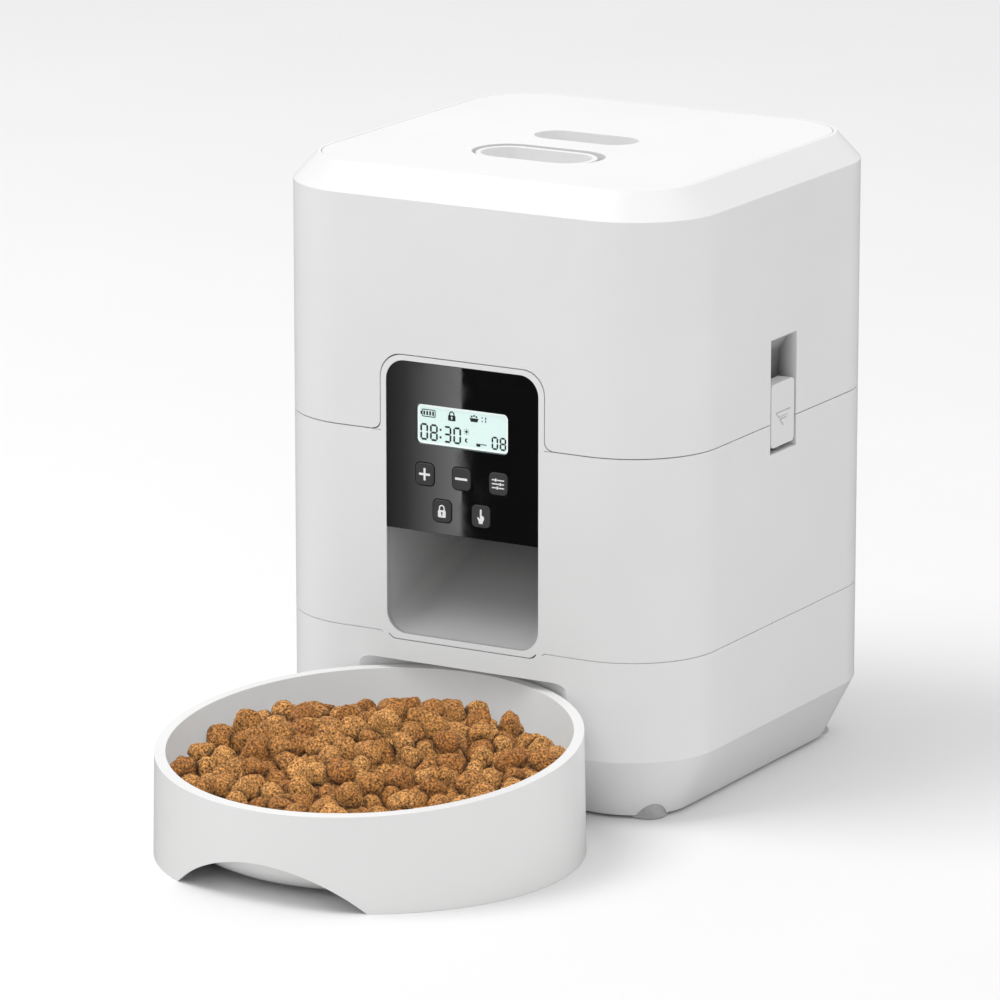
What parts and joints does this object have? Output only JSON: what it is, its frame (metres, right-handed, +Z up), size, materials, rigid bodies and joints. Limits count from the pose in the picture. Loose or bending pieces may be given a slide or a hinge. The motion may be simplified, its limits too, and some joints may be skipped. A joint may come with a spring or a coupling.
{
  "type": "automatic pet feeder",
  "caption": "Square tower feeder for dry pet food: lift-off hopper, motor-driven rotor, sloped outlet, timer panel and slide-in bowl.",
  "frame": {"origin": "on the floor, at the middle of the feeder and its bowl together", "axes": "+Z up, -Y to the front where the bowl and the control panel are, +X to the right seen along +Y"},
  "size_m": [0.19, 0.3494, 0.2578],
  "materials": {
    "white_housing": "satin moulded ABS with a fine texture",
    "white_bowl": "semi-gloss moulded plastic",
    "white_trim": "satin",
    "grey_plastic": "satin",
    "dark_plastic": "satin",
    "button_plastic": "fine matt with a white printed symbol",
    "panel_black": "piano gloss",
    "display_clear": "clear",
    "display_mint": "lit liquid-crystal display",
    "circuit_green": "solder mask",
    "steel": "plain",
    "motor_steel": "zinc plated",
    "rubber_grey": "matt",
    "silicone": "translucent matt",
    "acetal": "natural",
    "rotor_plastic": "satin",
    "kibble": "dry baked crumb"
  },
  "bodies": {
    "base": {"base_housing": "white_housing", "rubber_feet": "rubber_grey", "battery_tray": "dark_plastic", "battery_contacts": "steel", "battery_springs": "steel", "power_inlet": "dark_plastic", "housing_screws": "steel", "mid_housing": "white_housing", "outlet_chute": "white_trim", "panel_lens": "panel_black", "display_window": "display_clear", "lcd_module": "display_mint", "control_pcb": "circuit_green", "pcb_screws": "steel", "button_switches": "dark_plastic", "dispenser_deck": "grey_plastic", "deck_screws": "steel", "gearbox_housing": "dark_plastic", "gearbox_cover": "dark_plastic", "gearbox_screws": "steel", "shaft_bush": "acetal", "drive_motor": "motor_steel", "motor_screws": "steel", "position_switch": "dark_plastic", "latch_spring_right": "steel", "latch_spring_left": "steel", "bolt_spring_right": "steel", "bolt_spring_left": "steel"},
    "battery_door": {"battery_door": "white_trim"},
    "bowl": {"food_bowl": "white_bowl"},
    "rotor": {"food_rotor": "rotor_plastic", "rotor_blades": "silicone", "drive_shaft": "steel", "output_gear": "acetal"},
    "pinion": {"motor_pinion": "steel"},
    "tank": {"hopper_tank": "white_housing", "hopper_funnel": "grey_plastic"},
    "lid": {"lid": "white_housing", "lid_seal": "silicone", "latch_rails": "grey_plastic", "lid_latch_springs": "steel", "desiccant_box": "grey_plastic", "desiccant_cover": "white_trim"},
    "lid_latch": {"lid_latch": "white_trim"},
    "latch_right": {"latch_button_right": "white_trim"},
    "latch_left": {"latch_button_left": "white_trim"},
    "bolt_right": {"latch_bolt_right": "grey_plastic"},
    "bolt_left": {"latch_bolt_left": "grey_plastic"},
    "plus": {"button_plus": "button_plastic"},
    "minus": {"button_minus": "button_plastic"},
    "settings": {"button_settings": "button_plastic"},
    "lock": {"button_lock": "button_plastic"},
    "feed": {"button_feed": "button_plastic"}
  },
  "joints": [
    {"name": "bowl_slide", "type": "slide", "parent": "base", "child": "bowl", "axis": [0, -1, 0], "range_m": [0, 0.08]},
    {"name": "battery_door_slide", "type": "slide", "parent": "base", "child": "battery_door", "axis": [0, 1, 0], "range_m": [0, 0.06]},
    {"name": "rotor_spin", "type": "hinge", "parent": "base", "child": "rotor", "pos_m": [0, 0.08899, 0.12], "axis": [0, 0, 1], "continuous": true},
    {"name": "pinion_spin", "type": "hinge", "parent": "base", "child": "pinion", "pos_m": [0, 0.11299, 0.1], "axis": [0, 0, 1], "continuous": true},
    {"name": "tank_lift", "type": "slide", "parent": "base", "child": "tank", "axis": [0, 0, 1], "range_m": [0, 0.12]},
    {"name": "lid_lift", "type": "slide", "parent": "tank", "child": "lid", "axis": [0, 0, 1], "range_m": [0, 0.06]},
    {"name": "lid_latch_slide", "type": "slide", "parent": "lid", "child": "lid_latch", "axis": [0, 1, 0], "range_m": [0, 0.0035], "stiffness_N_per_m": 300, "springref_m": -0.003, "deforming": ["lid_latch_springs"]},
    {"name": "latch_right_slide", "type": "slide", "parent": "base", "child": "latch_right", "axis": [0, 0, -1], "range_m": [0, 0.002], "stiffness_N_per_m": 400, "springref_m": -0.002, "deforming": ["latch_spring_right"]},
    {"name": "bolt_right_slide", "type": "slide", "parent": "base", "child": "bolt_right", "axis": [-1, 0, 0], "range_m": [0, 0.002], "stiffness_N_per_m": 200, "springref_m": -0.002, "deforming": ["bolt_spring_right"]},
    {"name": "latch_left_slide", "type": "slide", "parent": "base", "child": "latch_left", "axis": [0, 0, -1], "range_m": [0, 0.002], "stiffness_N_per_m": 400, "springref_m": -0.002, "deforming": ["latch_spring_left"]},
    {"name": "bolt_left_slide", "type": "slide", "parent": "base", "child": "bolt_left", "axis": [1, 0, 0], "range_m": [0, 0.002], "stiffness_N_per_m": 200, "springref_m": -0.002, "deforming": ["bolt_spring_left"]},
    {"name": "plus_press", "type": "slide", "parent": "base", "child": "plus", "axis": [0, 1, 0], "range_m": [0, 0.0008], "stiffness_N_per_m": 600, "springref_m": -0.001},
    {"name": "minus_press", "type": "slide", "parent": "base", "child": "minus", "axis": [0, 1, 0], "range_m": [0, 0.0008], "stiffness_N_per_m": 600, "springref_m": -0.001},
    {"name": "settings_press", "type": "slide", "parent": "base", "child": "settings", "axis": [0, 1, 0], "range_m": [0, 0.0008], "stiffness_N_per_m": 600, "springref_m": -0.001},
    {"name": "lock_press", "type": "slide", "parent": "base", "child": "lock", "axis": [0, 1, 0], "range_m": [0, 0.0008], "stiffness_N_per_m": 600, "springref_m": -0.001},
    {"name": "feed_press", "type": "slide", "parent": "base", "child": "feed", "axis": [0, 1, 0], "range_m": [0, 0.0008], "stiffness_N_per_m": 600, "springref_m": -0.001}
  ],
  "couplings": [
    {"joint": "pinion_spin", "follows": "rotor_spin", "ratio": -3},
    {"joint": "bolt_right_slide", "follows": "latch_right_slide", "ratio": 1},
    {"joint": "bolt_left_slide", "follows": "latch_left_slide", "ratio": 1}
  ]
}
